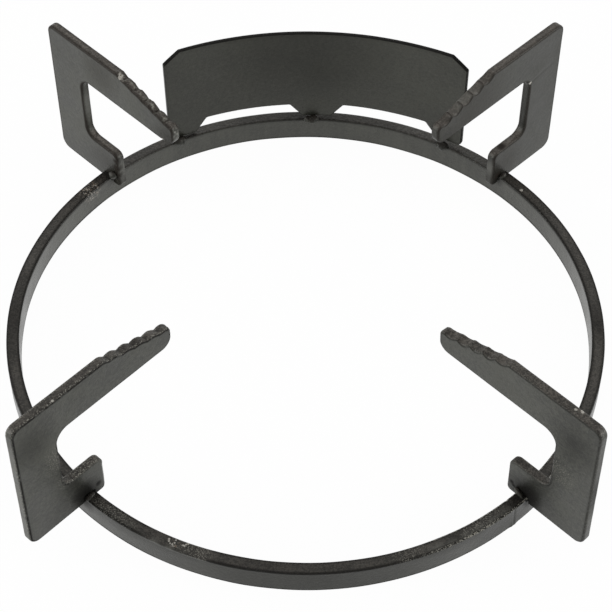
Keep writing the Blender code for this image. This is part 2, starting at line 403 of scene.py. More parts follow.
# %% Ring section
RING_OUTER_RADIUS = 0.12
BAR_THICKNESS = 0.005
BAR_HEIGHT = 0.0113
BAR_ROUND = 0.0006
BAR_POINT_STEP = 0.0006
BAR_COAT = 0.00008
BAR_TOP_BAND = 0.0012
BAR_EDGE_REACH = 0.0018
BAR_LINE_REACH = 0.0016
BAR_LINE_FULL = 1.4
BAR_TOP_REACH = 0.0038
BAR_SIDE_REACH = 0.006
BAR_MIDDLE_RADIUS = RING_OUTER_RADIUS - BAR_THICKNESS / 2


def ring_section():
    """Points of the bar's section as (radius, height, numbers), counterclockwise."""
    inner = RING_OUTER_RADIUS - BAR_THICKNESS
    outline = fine_outline([
        (inner, 0, BAR_ROUND),
        (RING_OUTER_RADIUS, 0, BAR_ROUND),
        (RING_OUTER_RADIUS, BAR_HEIGHT, BAR_ROUND),
        (inner, BAR_HEIGHT, BAR_ROUND),
    ], BAR_POINT_STEP)
    wider = 1 + 2 * BAR_COAT / BAR_THICKNESS
    higher = 1 + BAR_COAT / BAR_HEIGHT
    section = []
    for point in outline:
        side = min(point.x - inner, RING_OUTER_RADIUS - point.x)
        level = min(point.y, BAR_HEIGHT - point.y)
        away = max(side, level)
        rim = 1.0 if level < BAR_ROUND else 0.0
        # On the inner top and the upper half of the outer side the edge band reaches further, so the finish
        # paints shade there.
        on_inner_top = rim and point.x < BAR_MIDDLE_RADIUS + BAR_TOP_BAND and point.y > BAR_ROUND
        on_outer_side = not rim and point.x > BAR_MIDDLE_RADIUS and point.y > BAR_HEIGHT / 2
        reach = BAR_TOP_REACH if on_inner_top else BAR_SIDE_REACH if on_outer_side else BAR_EDGE_REACH
        # A full dark line over most of the rounding paints shade along the bar's edges.
        line = min(1.0, BAR_LINE_FULL * max(0.0, 1 - away / BAR_LINE_REACH))
        radius = BAR_MIDDLE_RADIUS + (point.x - BAR_MIDDLE_RADIUS) * wider
        section.append((radius, point.y * higher, (rim, max(0.0, 1 - away / reach), line)))
    return section


section = ring_section()
print("points in the bar's section:", len(section))

# %% Walk the section round
RING_STEP = 0.5
JOINT_AZIMUTH = -49.4
JOINT_REACH = 2.0
JOINT_STEP = 0.1
JOINT_GROOVE = 0.00022
JOINT_GROOVE_WIDTH = 0.24
JOINT_DROP = 0.00045
JOINT_DROP_WIDTH = 0.7
JOINT_DROP_HEIGHT = 0.0028
BAR_WAVE = 0.00008
BAR_WAVE_LENGTH = 0.014
BULGES = ((175, 45, 0.0004), (90, 35, -0.0002), (28, 25, 0.0003), (-20, 28, -0.0002))


def ring_azimuths():
    """Even steps round the circle, with finer ones at the butt joint."""
    far_steps = int((360 - 2 * JOINT_REACH) / RING_STEP)
    near_steps = int(2 * JOINT_REACH / JOINT_STEP)
    far = [JOINT_AZIMUTH + JOINT_REACH + RING_STEP * step for step in range(far_steps)]
    near = [JOINT_AZIMUTH - JOINT_REACH + JOINT_STEP * step for step in range(near_steps)]
    return far + near


def out_of_round(azimuth):
    """How far the bar strays from its true circle."""
    total = 0
    for middle, reach, bulge in BULGES:
        off = (azimuth - middle + 180) % 360 - 180
        total += bulge * math.exp(-((off / reach) ** 2))
    return total


def joint_push(azimuth, height):
    """How far the outline stands proud at the butt joint: a groove, and a drop near the foot."""
    off = azimuth - JOINT_AZIMUTH
    groove = -JOINT_GROOVE * math.exp(-((off / JOINT_GROOVE_WIDTH) ** 2))
    foot = math.exp(-((height / JOINT_DROP_HEIGHT) ** 2))
    return groove + JOINT_DROP * math.exp(-((off / JOINT_DROP_WIDTH) ** 2)) * foot


def ring_bmesh():
    bm = bmesh.new()
    layers = number_layers(bm)
    loops = []
    for azimuth in ring_azimuths():
        angle = math.radians(azimuth)
        stray = out_of_round(azimuth)
        loop = []
        for radius, height, numbers in section:
            push = joint_push((azimuth + 180) % 360 - 180, height)
            reach = radius + stray + (push if radius > BAR_MIDDLE_RADIUS else -push)
            vert = bm.verts.new((reach * math.cos(angle), reach * math.sin(angle), height))
            set_numbers(vert, layers, numbers)
            loop.append(vert)
        loops.append(loop)
    join_loops(bm, loops[-1:] + loops)
    roughen(bm, lambda vert: BAR_WAVE, BAR_WAVE_LENGTH, 1)
    return bm


hand_over("ring_bar", ring_bmesh(), "ring")
print("ring points:", len(pieces["ring"].data.vertices))

# %% [markdown]
# ## The arm plates
#
# Each arm is a 4 mm plate. A notch in its foot straddles the ring, the column rises outside, and the
# finger reaches inward over the burner. It could be a flat shape with a bevel modifier, but the edges of
# the real plates tell most of their story. So rows of points run from one face, over the round edge and
# the rim, to the other.

# %% Arm sizes
PLATE_THICKNESS = 0.004
PLATE_ROUND = 0.0009
COLUMN_INNER = BAR_THICKNESS / 2 + 0.009
COLUMN_OUTER = COLUMN_INNER + 0.0187
NOTCH_HALF = BAR_THICKNESS / 2 + 0.0002
NOTCH_TOP = BAR_HEIGHT + 0.0001
ARM_BOTTOM = BAR_HEIGHT - 0.0035
LEG_INNER = -BAR_THICKNESS / 2 - 0.0049
FOOT_TOP = BAR_HEIGHT + 0.0155
FINGER_BOTTOM = FOOT_TOP + 0.0327
FINGER_TOP = FINGER_BOTTOM + 0.0187
FINGER_TIP = COLUMN_INNER - 0.0571
SERRATION_COUNT = 5
SERRATION_PITCH = 0.00605
SERRATION_FALL = 0.0017
SERRATION_POINTS = 16
TIP_LAND = 0.0021
SERRATION_START = FINGER_TIP + TIP_LAND + SERRATION_COUNT * SERRATION_PITCH
OUTLINE_STEP = 0.0007
print("an arm is", round((COLUMN_OUTER - FINGER_TIP) * 1000, 1), "mm long")

# %% [markdown]
# The serrations were cut by hand or by a worn die, so no two fingers match. On the left arms they are
# round bumps with sharp valleys between them, and on the right arms round scoops with sharp crests. Each
# arm lists its own five valleys, how much of the cut reaches each face, how rough the cut is, and how
# dark the shade is that is painted in its creases. The front left leg also has a facet, where its inner
# edge was ground.
# The stance repeats the CAD source: azimuth, slide, turn, lean and tip of each welded plate. The weld
# bead on the side that is seen goes from point to point, (x, y, z) in mm, and then comes its radius.

# %% Four arms, each its own
ARMS = {
    "front_left": {
        "stance": (-134.9, -0.0008, 1.3, -0.2, 0.6),
        "valleys": (0.0013, 0.0014, 0.0014, 0.0014, 0.0012),
        "scoops": False, "power": 1.1, "cut": (1.0, 0.45), "rough": 0.00018, "crease_shade": 0.7, "facet": 0.7,
        "bead": ((-1.4, 3.3, 11.5), (3.2, 3.3, 11.3), 1.2),
        "marks": [(10.3, 1.4, 78.2, 0.6)],
    },
    "front_right": {
        "stance": (-45.2, -0.0007, -0.3, 1.0, 0.0),
        "valleys": (0.0013, 0.0017, 0.0015, 0.0017, 0.0012),
        "scoops": True, "power": 0.9, "cut": (1.0, 0.35), "rough": 0.00026, "crease_shade": 0.35,
        "bead": ((-3.6, 2.5, 13.0), (1.2, 3.5, 11.3), 1.1),
        "marks": [(29.6, -1.8, 77.8, 1.1), (18.6, 1.4, 78.2, 0.8), (16.3, 0.3, 78.3, 0.7)],
    },
    "rear_left": {
        "stance": (135.1, 0.0003, -0.4, -0.7, 0.3),
        "valleys": (0.0011, 0.0015, 0.0013, 0.0016, 0.0011),
        "scoops": False, "power": 0.9, "cut": (0.9, 0.25), "rough": 0.0005, "crease_shade": 0.9,
        "bead": ((-5.8, 2.6, 14.3), (-2.0, 2.8, 13.7), 1.8),
        "marks": [(-15, 1.2, 78.1, 2), (-16.3, 2, 77.3, 0.9), (-39.2, 2, 60.1, 0.8)],
    },
    "rear_right": {
        "stance": (45.2, 0.0008, -0.5, 0.0, 0.0),
        "valleys": (0.0016, 0.0018, 0.0017, 0.0018, 0.0016),
        "scoops": True, "power": 0.9, "cut": (1.0, 0.2), "rough": 0.00018, "crease_shade": 1.0,
        "bead": ((-2.6, 2.9, 11.7), (1.0, 3.3, 11.3), 1.4),
        "marks": [(11.6, -1.8, 56.6, 0.9)],
    },
}
print("arms:", list(ARMS))

# %% Arm outline
def crest_line(x):
    """Height of the line that touches the crests of the serrations."""
    return FINGER_TOP - SERRATION_FALL * (SERRATION_START - x) / SERRATION_PITCH


def serrations(arm):
    """Corners of the serrated slope, from the flat top down to the last crest."""
    corners = []
    for index in range(SERRATION_COUNT * SERRATION_POINTS + 1):
        along = index / SERRATION_POINTS
        bump = abs(math.cos(math.pi * along)) ** arm["power"]
        scoop = abs(math.sin(math.pi * along)) ** arm["power"]
        depth = arm["valleys"][min(int(along), SERRATION_COUNT - 1)]
        x = SERRATION_START - SERRATION_PITCH * along
        corners.append((x, crest_line(x) - depth * (scoop if arm["scoops"] else 1 - bump), 0))
    return corners


def notch_middle(arm):
    """Where the bar crosses the plate, in the arm's own frame."""
    return -arm["stance"][1]


def arm_outline(arm):
    """The arm's side view, with its serrations and its notch."""
    notch = notch_middle(arm)
    return fine_outline([
        (COLUMN_OUTER, ARM_BOTTOM, 0.0044),
        (COLUMN_OUTER, FINGER_TOP, 0.004),
        *serrations(arm),
        (FINGER_TIP, crest_line(FINGER_TIP), 0.0025),
        (FINGER_TIP, FINGER_BOTTOM, 0.0048),
        (COLUMN_INNER, FINGER_BOTTOM, 0.006),
        (COLUMN_INNER, FOOT_TOP, 0.0045),
        (LEG_INNER, FOOT_TOP, 0.0033),
        (LEG_INNER, ARM_BOTTOM, 0.0022),
        (notch - NOTCH_HALF, ARM_BOTTOM, 0.001),
        (notch - NOTCH_HALF, NOTCH_TOP, 0),
        (notch + NOTCH_HALF, NOTCH_TOP, 0),
        (notch + NOTCH_HALF, ARM_BOTTOM, 0.001),
    ], OUTLINE_STEP)


print("points round the front left arm:", len(arm_outline(ARMS["front_left"])))

# %% Rows over the edge of a plate
FACE_INSETS = ((0.0015, 0.0), (0.0012, 0.28))
ROUND_STEPS = 5
EDGE_FADE = (0.55, 0.80, 1.0, 1.0, 0.80, 0.60)
LINE_FADE = (0.60, 1.0, 1.0, 0.45, 0.10, 0.0)
RIM_FADE = (0.30, 0.05, 0.05, 0.30)


def plate_rows(thickness, rounding):
    """Rows as (inset, across, numbers), from one face of a plate over its rim to the other."""
    half = thickness / 2
    near = [(inset, half, (0.0, edge, 0.0)) for inset, edge in FACE_INSETS]
    for step in range(ROUND_STEPS + 1):
        angle = math.pi / 2 * step / ROUND_STEPS
        across = half - rounding + rounding * math.cos(angle)
        numbers = (step / ROUND_STEPS, EDGE_FADE[step], LINE_FADE[step])
        near.append((rounding - rounding * math.sin(angle), across, numbers))
    rim = []
    for step, edge in enumerate(RIM_FADE, 1):
        across = (half - rounding) * (1 - 2 * step / (len(RIM_FADE) + 1))
        rim.append((0.0, across, (1.0, edge, 0.0)))
    far = [(inset, -across, numbers) for inset, across, numbers in reversed(near)]
    return near + rim + far


def plate_bmesh(outline, inward, rows, lift):
    """Lay the rows round an outline in the XZ plane, and close both faces."""
    bm = bmesh.new()
    layers = number_layers(bm)
    loops = []
    for inset, across, numbers in rows:
        loop = []
        for point, step in zip(outline, inward):
            spot = point + step * inset
            vert = bm.verts.new((spot.x, across, spot.y + lift(point, across)))
            set_numbers(vert, layers, numbers)
            loop.append(vert)
        loops.append(loop)
    join_loops(bm, loops)
    caps = [bm.faces.new(loops[0]), bm.faces.new(loops[-1])]
    bmesh.ops.recalc_face_normals(bm, faces=bm.faces)
    bmesh.ops.triangulate(bm, faces=caps)
    return bm


arm_rows = plate_rows(PLATE_THICKNESS, PLATE_ROUND)
print("rows over an arm's rim:", len(arm_rows))

# %% Make and place the arms
RIM_WAVE = 0.00007
RIM_WAVELENGTH = 0.006
CUT_WAVELENGTH = 0.0012
CUT_REACH = 0.001
FACET_WIDTH = 0.0012
FACET_RISE = 0.005
FACET_LINE = 0.9
NOTCH_EDGE = 0.2
NOTCH_REACH = 0.0012
CREASE_REACH = 0.17
MARK_DEPTH = 0.22
HAIR = 0.0001
SLOPE_FLOOR = FINGER_BOTTOM + 0.004
SLOPE_INWARD = Vector((SERRATION_FALL / SERRATION_PITCH, -1)).normalized()


def on_serrations(point):
    return FINGER_TIP + TIP_LAND < point.x < SERRATION_START and point.y > SLOPE_FLOOR


def near_crease(arm, x):
    """1 on the sharp lines between two scoops or two bumps, and 0 between them."""
    along = (SERRATION_START - x) / SERRATION_PITCH + (0.0 if arm["scoops"] else 0.5)
    return max(0.0, 1 - abs(along - round(along)) / CREASE_REACH)


def in_notch(arm, point, reach):
    return abs(point.x - notch_middle(arm)) < NOTCH_HALF + reach and point.y < NOTCH_TOP + reach


def arm_inward(arm, outline):
    """The inward steps, but all alike below the serrations, where true ones would cross."""
    steps = []
    for point, step in zip(outline, inward_steps(outline)):
        if on_serrations(point):
            step = SLOPE_INWARD
        elif in_notch(arm, point, HAIR):
            step = step * NOTCH_EDGE
        steps.append(step)
    return steps


def soften_numbers(bm, arm):
    """No lines round the notch, which is clean and nearly sharp, and extra lines of painted shade in the
    creases.
    """
    rim, edge, line = (bm.verts.layers.float[name] for name in NUMBERS)
    for vert in bm.verts:
        if in_notch(arm, vert.co.xz, NOTCH_REACH):
            vert[edge] = vert[line] = 0.0
        elif on_serrations(vert.co.xz):
            crease_shade = arm["crease_shade"] * vert[rim] * near_crease(arm, vert.co.x)
            vert[line] = max(vert[line], crease_shade)


def grind_leg(bm, steepness):
    """A facet along the leg's inner edge on the +Y face, with a line of painted shade beside it."""
    edge, line = (bm.verts.layers.float[name] for name in NUMBERS[1:])
    for vert in bm.verts:
        inset = vert.co.x - LEG_INNER
        share = min(1.0, max(0.0, (FOOT_TOP - vert.co.z) / FACET_RISE))
        if inset < FACET_WIDTH - HAIR and vert.co.y > 0 and vert.co.z < FOOT_TOP:
            vert.co.y = min(vert.co.y, PLATE_THICKNESS / 2 - steepness * share * (FACET_WIDTH - inset))
            vert[edge] *= 1 - share
            vert[line] *= 1 - share
        elif inset < FACET_WIDTH + HAIR and vert.co.y > 0:
            vert[line] = max(vert[line], FACET_LINE * share)


def arm_bmesh(arm, seed):
    minus_cut, plus_cut = arm["cut"]

    def lift(point, across):
        """Fill the valleys again toward the face that the cut reached less."""
        if not on_serrations(point):
            return 0
        share = across / PLATE_THICKNESS + 0.5
        cut = minus_cut + (plus_cut - minus_cut) * share
        return (crest_line(point.x) - point.y) * (1 - cut)

    outline = arm_outline(arm)
    bm = plate_bmesh(outline, arm_inward(arm, outline), arm_rows, lift)
    rim = bm.verts.layers.float["rim"]
    soften_numbers(bm, arm)
    if "facet" in arm:
        grind_leg(bm, arm["facet"])

    def cut_wave(vert):
        on_slope = vert.co.x < SERRATION_START + CUT_REACH and vert.co.z > SLOPE_FLOOR
        return arm["rough"] * vert[rim] if on_slope else 0

    roughen(bm, lambda vert: RIM_WAVE * vert[rim], RIM_WAVELENGTH, seed)
    roughen(bm, cut_wave, CUT_WAVELENGTH, seed + 10)
    dent(bm, arm["marks"], MARK_DEPTH)
    return bm


def arm_place(arm, slid=True):
    """Where an arm stands: out along its azimuth, turned about the bar's top."""
    azimuth, slide, turned, lean, tip = arm["stance"]
    heading = math.radians(azimuth)
    seat = Vector((0, 0, BAR_HEIGHT))
    outward = Vector((math.cos(heading), math.sin(heading), 0)) * (BAR_MIDDLE_RADIUS + slide * slid)
    pose = Euler((math.radians(lean), math.radians(tip), heading + math.radians(turned)))
    return Matrix.Translation(outward + seat) @ pose.to_matrix().to_4x4() @ Matrix.Translation(-seat)


for seed, (name, arm) in enumerate(ARMS.items()):
    hand_over("plate_" + name, arm_bmesh(arm, seed), "arm_" + name, arm_place(arm))
print("plates made:", len(ARMS))

# %% [markdown]
# ## The heat shield
#
# The shield is thin sheet: a blank with clipped top corners and two vents along its foot, bent to the
# ring and welded on at three feet. Its free top sprang back a little flatter than its foot. The blank is
# cut into a fine grid and then bent, so that it keeps its outline and can wave slightly, as sheet does.

# %% Shield blank
SHIELD_THICKNESS = 0.002
SHIELD_ROUND = 0.0005
SHIELD_HALF_LENGTH = 0.0666
SHIELD_HEIGHT = 0.0484
SHIELD_BOTTOM = BAR_HEIGHT + 0.0015
SHIELD_TOP = SHIELD_BOTTOM + SHIELD_HEIGHT
SHIELD_CHAMFER_LENGTH = 0.0073
SHIELD_CHAMFER_HEIGHT = 0.0052
SHIELD_GRID = 0.0025
SHIELD_GRID_MERGE = 0.00002
VENT_TOP = SHIELD_BOTTOM + 0.0067
VENT_INNER = 0.0117
VENT_OUTER = 0.049
VENT_SLANT = 0.0053
LEFT_EDGE_SHARE = 0.1


def shield_outline():
    half = [
        (VENT_INNER - VENT_SLANT, SHIELD_BOTTOM, 0),
        (VENT_INNER, VENT_TOP, 0.0012),
        (VENT_OUTER, VENT_TOP, 0.0012),
        (VENT_OUTER + VENT_SLANT, SHIELD_BOTTOM, 0),
        (SHIELD_HALF_LENGTH, SHIELD_BOTTOM, 0.0022),
        (SHIELD_HALF_LENGTH, SHIELD_TOP - SHIELD_CHAMFER_HEIGHT, 0.001),
        (SHIELD_HALF_LENGTH - SHIELD_CHAMFER_LENGTH, SHIELD_TOP, 0.001),
    ]
    other = [(-x, z, radius) for x, z, radius in reversed(half)]
    return rounded_outline(half + other)


def slice_grid(bm, low, high, normal):
    """Cut the blank along evenly spaced lines."""
    count = math.ceil((high - low) / SHIELD_GRID)
    for step in range(1, count):
        point = Vector(normal) * (low + (high - low) * step / count)
        everything = [*bm.verts, *bm.edges, *bm.faces]
        bmesh.ops.bisect_plane(bm, geom=everything, dist=SHIELD_GRID_MERGE, plane_co=point, plane_no=normal)


def shield_blank():
    """The blank, cut into a grid and with rounded edges."""
    bm = bmesh.new()
    bm.faces.new([bm.verts.new((point.x, 0, point.y)) for point in shield_outline()])
    slice_grid(bm, -SHIELD_HALF_LENGTH, SHIELD_HALF_LENGTH, (1, 0, 0))
    slice_grid(bm, SHIELD_BOTTOM, SHIELD_TOP, (0, 0, 1))
    bmesh.ops.translate(bm, verts=bm.verts, vec=(0, -SHIELD_THICKNESS / 2, 0))
    made = bmesh.ops.extrude_face_region(bm, geom=list(bm.faces))["geom"]
    moved = [item for item in made if isinstance(item, bmesh.types.BMVert)]
    bmesh.ops.translate(bm, verts=moved, vec=(0, SHIELD_THICKNESS, 0))
    bm.normal_update()
    rim = []
    for edge in bm.edges:
        along = abs(edge.verts[0].co.y - edge.verts[1].co.y) < SHIELD_THICKNESS / 2
        kinds = {abs(face.normal.y) > 0.5 for face in edge.link_faces}
        if along and len(kinds) == 2:
            rim.append(edge)
    bmesh.ops.bevel(bm, geom=rim, offset=SHIELD_ROUND, offset_type="OFFSET", segments=3,
                    profile=0.5, affect="EDGES", clamp_overlap=False)
    layers = number_layers(bm)
    for vert in bm.verts:
        on_rim = abs(vert.co.y) < SHIELD_THICKNESS / 2 - SHIELD_GRID_MERGE
        on_left = vert.co.x < -SHIELD_HALF_LENGTH + SHIELD_ROUND
        share = 0.0 if not on_rim else LEFT_EDGE_SHARE if on_left else 1.0
        set_numbers(vert, layers, (0.0, share, share))
    return bm


blank = shield_blank()
print("points in the blank:", len(blank.verts))

# %% Bend the blank round the ring
SHIELD_FOOT_BEND = 0.123
SHIELD_TOP_BEND = 0.1365
SHIELD_SET_IN = 0.0006
SHIELD_LEAN_IN = 0.0006
SHIELD_PLACE = -2.3
SHIELD_TURN = 0.35
SHIELD_SWING = 0.55
SHEET_WAVE = 0.00022
SHEET_WAVE_LENGTH = 0.03
SHEET_WAVE_HEIGHT = 0.02
SHEET_WAVE_SEED = 4.0


def bend_sheet(arc, depth, height):
    """Where a point of the blank lies once it is bent and stands on the bar."""
    share = (height - SHIELD_BOTTOM) / SHIELD_HEIGHT
    bend = SHIELD_FOOT_BEND + (SHIELD_TOP_BEND - SHIELD_FOOT_BEND) * share
    middle = BAR_MIDDLE_RADIUS - SHIELD_SET_IN - SHIELD_LEAN_IN * share
    ripple = Vector((arc / SHEET_WAVE_LENGTH, height / SHEET_WAVE_HEIGHT, SHEET_WAVE_SEED))
    radius = bend + depth + SHEET_WAVE * noise.noise(ripple)
    across = radius * math.sin(arc / bend)
    back = middle - bend + radius * math.cos(arc / bend)
    foot = Vector((0, BAR_MIDDLE_RADIUS, SHIELD_BOTTOM))
    stance = turn(SHIELD_TURN, "Z") @ turn(-SHIELD_SWING, "Y")
    return foot + stance @ (Vector((across, back, height)) - foot)


for vert in blank.verts:
    vert.co = bend_sheet(*vert.co)
shield_place = turn(SHIELD_PLACE, "Z")
hand_over("shield_sheet", blank, "heat_shield", shield_place)
print("shield box in mm:", [round(side * 1000, 1) for side in pieces["heat_shield"].dimensions])

# %% [markdown]
# ## The weld beads
#
# A bead is a string of molten drops that froze one over the other, so it has ripples, swells in the
# middle and is never straight. A row of noisy rings of points, drawn together at both ends, gives that
# lump directly.

# %% Bead helpers
BEAD_SPOKES = 18
BEAD_RINGS = 22
BEAD_LUMPS = 0.3
BEAD_LUMPS_PER_METRE = 480
BEAD_RIPPLE = 0.04
BEAD_RIPPLES = 4.5
BEAD_END = 0.03
BEAD_LOOK_AHEAD = 0.02


def bead_bmesh(path, radius, flat, seed):
    """A rippled bead along a path, a function of 0..1 that returns its middle."""
    bm = bmesh.new()
    rings = []
    for index in range(BEAD_RINGS + 1):
        share = index / BEAD_RINGS
        middle = path(share)
        ahead, behind = min(1, share + BEAD_LOOK_AHEAD), max(0, share - BEAD_LOOK_AHEAD)
        forward = (path(ahead) - path(behind)).normalized()
        side = forward.cross(Vector((0, 0, 1))).normalized()
        up = side.cross(forward)
        swell = math.sin(math.pi * min(1, max(BEAD_END, share))) ** 0.5
        ripple = 1 + BEAD_RIPPLE * math.cos(math.tau * BEAD_RIPPLES * share)
        ring = []
        for spoke in range(BEAD_SPOKES):
            angle = math.tau * spoke / BEAD_SPOKES
            out = side * math.cos(angle) + up * (math.sin(angle) * flat)
            spot = (middle + out * radius) * BEAD_LUMPS_PER_METRE + Vector((seed, 0, 0))
            lump = 1 + BEAD_LUMPS * noise.noise(spot)
            ring.append(bm.verts.new(middle + out * (radius * swell * ripple * lump)))
        rings.append(ring)
    join_loops(bm, rings)
    bm.faces.new(rings[0])
    bm.faces.new(rings[-1])
    return bm


print("points in a bead:", (BEAD_RINGS + 1) * BEAD_SPOKES)

# %% Beads beside the arms
PLAIN_BEAD = ((-2.6, 2.6, 11.6), (2.6, 2.6, 11.5), 1.4)


def arm_bead(ends, side, seed):
    """The bead on the bar against one side of a plate."""
    *ends, radius = ends
    start, end = (Vector((x * MM, y * MM * side, z * MM)) for x, y, z in ends)
    return bead_bmesh(lambda share: start.lerp(end, share), radius * MM, 1.0, seed)


for seed, (name, arm) in enumerate(ARMS.items()):
    seen_side = 1 if "left" in name else -1
    for side, label in ((1, "_ccw"), (-1, "_cw")):
        ends = arm["bead"] if side == seen_side else PLAIN_BEAD
        bm = arm_bead(ends, side, seed * 2 + side)
        place = arm_place(arm, slid=False)
        hand_over("bead_" + name + label, bm, "weld_" + name + label, place)
print("arm beads:", len(ARMS) * 2)

# %% Beads under the shield
SHIELD_BEAD_RADIUS = 0.0023
SHIELD_BEAD_REACH = 0.0034
SHIELD_BEAD_SHIFT = 0.0022
SHIELD_BEAD_INWARD = 0.0006
SHIELD_BEAD_RISE = 0.0002
SHIELD_BEAD_FLAT = 0.9
SHIELD_BEAD_SEED = 20
END_FOOT = (VENT_OUTER + VENT_SLANT + SHIELD_HALF_LENGTH) / 2


def shield_bead(arc, seed):
    """The blob that ties a foot to the bar and spills over its inner top edge."""
    inner = RING_OUTER_RADIUS - BAR_THICKNESS

    def path(share):
        along = arc + (share - 0.5) * 2 * SHIELD_BEAD_REACH
        sheet = bend_sheet(along, -SHIELD_THICKNESS / 2, SHIELD_BOTTOM)
        angle = math.atan2(sheet.x, sheet.y)
        radius = (inner + math.hypot(sheet.x, sheet.y)) / 2 - SHIELD_BEAD_INWARD
        height = BAR_HEIGHT + SHIELD_BEAD_RISE
        return Vector((radius * math.sin(angle), radius * math.cos(angle), height))

    return bead_bmesh(path, SHIELD_BEAD_RADIUS, SHIELD_BEAD_FLAT, seed)


for seed, (name, arc) in enumerate((("left", -END_FOOT), ("centre", 0.0), ("right", END_FOOT))):
    bm = shield_bead(arc - SHIELD_BEAD_SHIFT, seed + SHIELD_BEAD_SEED)
    hand_over("bead_shield_" + name, bm, "weld_shield_" + name, shield_place)
print("pieces made:", len(pieces))

# %% [markdown]
# ## The black coating
#
# All pieces carry one black coating, which differs from place to place. Upright faces are a dark grey
# with soft clouds and a fine sandy grain. Tops are browner, mottled by baked dust, and darker, which is
# partly painted shade. A ragged black line of painted shade runs where a flat face meets its rounding,
# with pale pinpricks beside it where the steel comes through. Near a weld the coating is burnt black.
# One shader is the coating, a second one is grime and painted shade that hardly mirrors anything, and
# each of these places is a mask between 0 and 1.

# %% Masks of the coating
# Patches per metre, and detail, of each noise
NOISES = {
    "broad": (22, 2.0), "cloud": (85, 3.0), "grain": (700, 2.0), "fine": (1600, 1.0), "prick": (2000, 1.0),
}
# The border of each kind of spot: its noise, how ragged that makes it, and the share that fades
SPOT_BORDERS = {
    "marks": ("grain", 1.2, 0.35), "scuffs": ("cloud", 1.2, 0.6), "glints": ("cloud", 0.0, 0.3),
    "dust": ("cloud", 1.0, 0.8), "grit": ("cloud", 1.0, 0.8), "sparks": ("cloud", 0.8, 0.6),
    "pale": ("cloud", 0.6, 0.8), "shade_patches": ("broad", 0.8, 1.0), "crust": ("broad", 0.8, 1.0),
    "soot_and_shade": ("cloud", 0.5, 0.85), "clean": ("cloud", 0.0, 0.5),
}
OFFSETS = (0.37, 0.53, 0.71)
UP_FROM, UP_TO = 0.35, 0.85


def vector_maths(place, operation, other, output=0):
    return place.node("VectorMath", {0: place, 1: other}, {"operation": operation}, output)


def patches(place, scale, detail=2.0):
    """Smooth noise with patches about 1/scale metres wide."""
    return place.node("TexNoise", {"Vector": place, "Scale": scale, "Detail": detail})


def tinted(colour, share):
    return tuple(value * share for value in colour)


class Masks:
    """The noises, the mesh's numbers and the spots, which the whole coating reads."""

    def __init__(self, start, seed, spots):
        self.spots = spots
        self.place = start.node("TexCoord", output="Object")
        self.own = vector_maths(self.place, "ADD", tinted(OFFSETS, seed))
        self.noises = {name: patches(self.own, *numbers) for name, numbers in NOISES.items()}
        self.broad, self.cloud, self.grain, self.fine, self.prick = self.noises.values()
        self.rim, self.edge, self.line = (
            start.node("Attribute", None, {"attribute_name": name}, "Fac") for name in NUMBERS
        )
        normal = start.node("NewGeometry", output="Normal")
        height = normal.node("SeparateXYZ", {"Vector": normal}, output="Z")
        self.up = height.between(UP_FROM, UP_TO)

    def spot(self, kind):
        """1 inside the spots of one kind, and 0 elsewhere."""
        source, ragged, fade = SPOT_BORDERS[kind]
        ragged = (self.noises[source] - 0.5) * ragged
        mask = self.up * 0
        for x, y, z, radius in self.spots.get(kind, ()):
            away = vector_maths(self.place, "DISTANCE", (x * MM, y * MM, z * MM), "Value")
            mask = mask.greater((1.0 - away / (radius * MM) + ragged).between(0.0, fade))
        return mask


print("kinds of spots:", list(SPOT_BORDERS))

# %% Colours and looks
SIDE_DARK = (0.0130, 0.0135, 0.0105)
SIDE_LIGHT = (0.0450, 0.0460, 0.0370)
# Tops are darker than sides, which is partly painted shade.
TOP_DARK = (0.0120, 0.0100, 0.0085)
TOP_LIGHT = (0.0580, 0.0510, 0.0440)
# The dark shader's colours stand for grime, and they also paint shade.
BLACK_GRIME_AND_SHADE = (0.0050, 0.0046, 0.0040)
BROWN_GRIME_AND_SHADE = (0.0140, 0.0108, 0.0082)
# Pale spots and glints paint highlights.
PALE_HIGHLIGHT = (0.118, 0.118, 0.106)
GLINT = (0.190, 0.192, 0.165)
PINPRICK = (0.260, 0.250, 0.215)
BARE_STEEL = (0.360, 0.345, 0.310)
RUST = (0.095, 0.062, 0.036)
WARM_GLOSS = (1.0, 1.0, 0.93)
GRIME_AND_SHADE_ROUGHNESS = 0.7
GRIME_AND_SHADE_GLOSS = 0.12
PALE_HIGHLIGHT_SHARE = 0.42
GLINT_SHARE = 0.8
SHADE_PATCH_DEPTH = 0.35
CRUST_DEPTH = 0.6
SOOT_AND_SHADE_DEPTH = 0.95
BUMP_DEPTH = 0.00025
# Caps darken faces that look up, which paints shade on them.
PLAIN_LOOK = {
    "mottle": 1.0, "gloss": 0.5, "roughness": 0.42, "pricks": 0.5, "lines": 0.9, "ragged": 1.0,
    "bands": 0.3, "caps": 0.0, "streaks": 0.0, "grain": 0.1, "outer": 1.0, "grime_and_shade": BLACK_GRIME_AND_SHADE,
}
print("looks:", list(PLAIN_LOOK))

# %% Parts of the coating
OUTER_FADE = 0.0004
STREAK_SCALE = 420
STREAK_STRETCH = 0.05
MOTTLE_MIDDLE = 0.45


